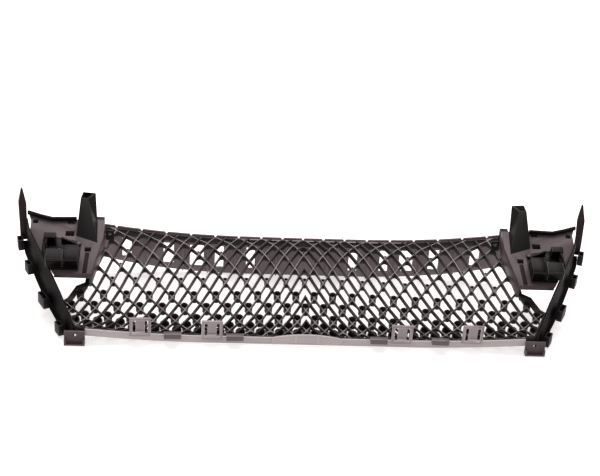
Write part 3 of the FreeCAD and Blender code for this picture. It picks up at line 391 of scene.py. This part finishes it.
@dataclass
class Mouldings:
    """Every moulding of the part, with the rounded edges that its mould leaves.

    Attributes:
        edge_mm: Radius of the edges.
        fine_edge_mm: Radius of the edges of the lattice, whose blades are thin.
        crease_deg: Angle from which an edge is rounded.
        segments: Faces across a rounded edge.
        weld_mm: Distance under which two corners are one.
        flat_deg: Angle under which two triangles belong to one face.
        smooth_deg: Angle under which an edge is shaded smooth.
        bar_mm: How far the lattice's bars stand above its blades.
        step_mm: How far a rim or pocket floor is from a corner plate's sheet.
        levels: Sorts the faces of the lattice and the corner plates.
    """

    edge_mm: float = 0.5
    fine_edge_mm: float = 0.25
    crease_deg: float = 30.0
    segments: int = 2
    weld_mm: float = 0.01
    flat_deg: float = 1.0
    smooth_deg: float = 40.0
    bar_mm: float = 1.2
    step_mm: float = 0.4
    levels: FaceLevels = FaceLevels()

    def cleaned(self, node: str) -> bpy.types.Object:
        """Copies a CAD node and joins its triangles into whole faces.

        Args:
            node: Name of the CAD node.

        Returns:
            The copy.
        """
        bpy.ops.object.select_all(action="DESELECT")
        source = frame["nodes"][node]
        piece = bpy.data.objects.new("moulded_" + node, source.data.copy())
        bpy.context.scene.collection.objects.link(piece)
        piece.select_set(True)
        bpy.context.view_layer.objects.active = piece
        bpy.ops.object.mode_set(mode="EDIT")
        bpy.ops.mesh.select_all(action="SELECT")
        bpy.ops.mesh.remove_doubles(threshold=self.weld_mm * MM)
        bpy.ops.mesh.dissolve_limited(angle_limit=math.radians(self.flat_deg))
        bpy.ops.object.mode_set(mode="OBJECT")
        return piece

    def dress(self, piece: bpy.types.Object, node: str,
              materials: list[bpy.types.Material]) -> None:
        """Gives a piece its finish, and a second one on some faces: paler on the lattice's
        crests, a painted highlight, and near black on a corner plate's raised faces and pocket
        floors, a painted shade.

        Args:
            piece: The piece, before its edges are rounded.
            node: Name of the CAD node that it stands for.
            materials: Its main finish, and the second one if it has one.
        """
        piece.data.materials.clear()
        for material in materials:
            piece.data.materials.append(material)
        for face in piece.data.polygons:
            face.material_index = 0
        if len(materials) < 2:
            return
        if node == LATTICE:
            apart = self.levels.crests(piece.data, self.bar_mm)
        else:
            apart = self.levels.raised(piece.data, self.step_mm)
        for index in apart:
            piece.data.polygons[index].material_index = 1
        log.info("%s: %d faces with the second finish", node, len(apart))

    def softened(self, node: str, body: str,
                 materials: list[bpy.types.Material],
                 edge_highlight: bpy.types.Material | None) -> bpy.types.Object:
        """Copies a CAD node, rounds its edges and dresses it.

        Args:
            node: Name of the CAD node.
            body: Name of the body that it rides on.
            materials: Its finishes.
            edge_highlight: Finish of its rounded edges, whose paler colour is a painted
                highlight, if it differs.

        Returns:
            The finished piece.
        """
        piece = self.cleaned(node)
        self.dress(piece, node, materials)
        edge = piece.modifiers.new("edge", "BEVEL")
        edge.width = (self.fine_edge_mm if node == LATTICE else self.edge_mm) * MM
        edge.segments = 1 if node == LATTICE else self.segments
        edge.limit_method = "ANGLE"
        edge.angle_limit = math.radians(self.crease_deg)
        edge.use_clamp_overlap = True
        # the rounded edges take the paler edge finish: a painted highlight
        if edge_highlight:
            piece.data.materials.append(edge_highlight)
            edge.material = len(piece.data.materials) - 1
        bpy.ops.object.modifier_apply(modifier=edge.name)
        bpy.ops.object.shade_smooth_by_angle(angle=math.radians(self.smooth_deg))
        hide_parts(node)
        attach(piece, body)
        return piece

    def build(self) -> None:
        """Builds every moulding."""
        finishes = list(FINISHES.values()) + list(dict.fromkeys(OWN_FINISHES.values()))
        materials = {finish: finish.material() for finish in finishes}
        # second finishes: a paler one on the crests, a painted highlight, and a near-black one
        # on the corner plates, a painted shade
        crest, rim = CREST_HIGHLIGHT.material(), PLATE_PAINTED_SHADE.material()
        # finishes of the rounded edges, in their paler colours: painted highlights
        edge_highlight = {finish: finish.edges().material() for finish in finishes
                  if isinstance(finish, MouldedPlastic)}
        slots = {p["node"]: Slot(p["material_slot"]) for p in frame["record"]["subparts"]}
        for body, nodes in frame["record"]["behaviour"]["bodies"].items():
            for node in nodes:
                slot = slots[node]
                finish = OWN_FINISHES.get(node, FINISHES[slot])
                second = [crest] if node == LATTICE else [rim] if node in CORNER_PLATES else []
                piece = self.softened(node, body, [materials[finish]] + second,
                                      None if node == LATTICE else edge_highlight.get(finish))
                log.info("%s: %d faces, %s", node, len(piece.data.polygons), slot.value)


# ---------------------------------------------------------------- studio


@dataclass
class Studio:
    """Pale floor, soft overhead light and the camera.

    Attributes:
        floor_m: Side of the floor.
        floor_glow: Light that the lit floor gives of itself, as a studio's light table does.
        ambient: Strength of the even light from all round.
        overhead_w: Power of the overhead softbox.
        overhead_place: Where it hangs.
        overhead_m: Its width and height.
        warmth: Colour of the light.
        gap_mm: How far the floor lies below the part.
        floor_roughness: Roughness of the floor.
        lens_mm: Focal length.
        sensor_mm: Width of the sensor.
        camera_place: Where the camera stands.
        elevation_deg: How far it looks down.
        yaw_deg: How far it is turned from the part's middle line.
        roll_deg: How far it is tilted sideways.
    """

    floor_m: float = 14.0
    floor_glow: float = 0.62
    ambient: float = 0.45
    overhead_w: float = 75.0
    overhead_place: Vector = Vector((0, 1.3, 2.3))
    overhead_m: tuple[float, float] = (2.8, 1.5)
    warmth: tuple[float, float, float] = (1.0, 0.92, 0.925)
    gap_mm: float = 0.1
    floor_roughness: float = 0.6
    lens_mm: float = 84.0
    sensor_mm: float = 36.0
    camera_place: Vector = Vector((-0.1723, -2.0347, 1.3226))
    elevation_deg: float = 30.0
    yaw_deg: float = 4.432
    roll_deg: float = -3.858

    def floor(self) -> None:
        """Lays the floor just under the part."""
        lowest = CAD_BOX[0][2]
        height = lowest - self.gap_mm * MM
        bpy.ops.mesh.primitive_plane_add(size=self.floor_m, location=(0, 0, height))
        floor = bpy.context.object
        floor.name = "studio_floor"
        bpy.ops.object.transform_apply(location=True, rotation=False, scale=False)
        material = bpy.data.materials.new("matt_white_floor")
        material.use_nodes = True
        skin = material.node_tree.nodes["Principled BSDF"]
        skin.inputs["Base Color"].default_value = linear("f4f2f1")
        skin.inputs["Roughness"].default_value = self.floor_roughness
        skin.inputs["Emission Color"].default_value = linear("fffefd")
        skin.inputs["Emission Strength"].default_value = self.floor_glow
        floor.data.materials.append(material)

    def softbox(self, name: str, place: Vector, aim: Vector, size: tuple[float, float],
                watts: float) -> None:
        """Hangs a rectangular softbox.

        Args:
            name: Name of the light.
            place: Where it hangs.
            aim: What it points at.
            size: Its width and height.
            watts: Its power.
        """
        data = bpy.data.lights.new(name, "AREA")
        data.shape = "RECTANGLE"
        data.size, data.size_y = size
        data.energy = watts
        data.color = self.warmth
        light = bpy.data.objects.new(name, data)
        light.location = place
        light.rotation_euler = (aim - place).to_track_quat("-Z", "Y").to_euler()
        bpy.context.scene.collection.objects.link(light)

    def light(self) -> None:
        """Sets the ambient light and the overhead softbox."""
        world = bpy.data.worlds.new("studio")
        world.use_nodes = True
        sky = world.node_tree.nodes["Background"]
        sky.inputs["Color"].default_value = (*self.warmth, 1.0)
        sky.inputs["Strength"].default_value = self.ambient
        bpy.context.scene.world = world
        self.softbox("overhead", self.overhead_place, Vector((0, 0, 0)), self.overhead_m,
                     self.overhead_w)

    def camera(self) -> None:
        """Sets the camera."""
        tilt, yaw, roll = (math.radians(a) for a in
                           (self.elevation_deg, self.yaw_deg, self.roll_deg))
        forward = Vector((math.sin(yaw) * math.cos(tilt), math.cos(yaw) * math.cos(tilt),
                          -math.sin(tilt)))
        level = Vector((math.cos(yaw), -math.sin(yaw), 0))
        down = forward.cross(level)
        right = level * math.cos(roll) + down * math.sin(roll)
        low = down * math.cos(roll) - level * math.sin(roll)
        data = bpy.data.cameras.new("camera")
        data.lens = self.lens_mm
        data.sensor_width = self.sensor_mm
        camera = bpy.data.objects.new("camera", data)
        turn = Matrix((right, -low, -forward)).transposed().to_4x4()
        camera.matrix_world = Matrix.Translation(self.camera_place) @ turn
        bpy.context.scene.collection.objects.link(camera)
        bpy.context.scene.camera = camera
        bpy.context.scene.view_settings.view_transform = "Standard"

    def build(self) -> None:
        """Builds the studio."""
        self.floor()
        self.light()
        self.camera()


def main() -> None:
    """Builds the part and the studio."""
    logging.basicConfig(level=logging.INFO)
    Studio().build()
    Mouldings().build()


if __name__ == "__main__":
    main()
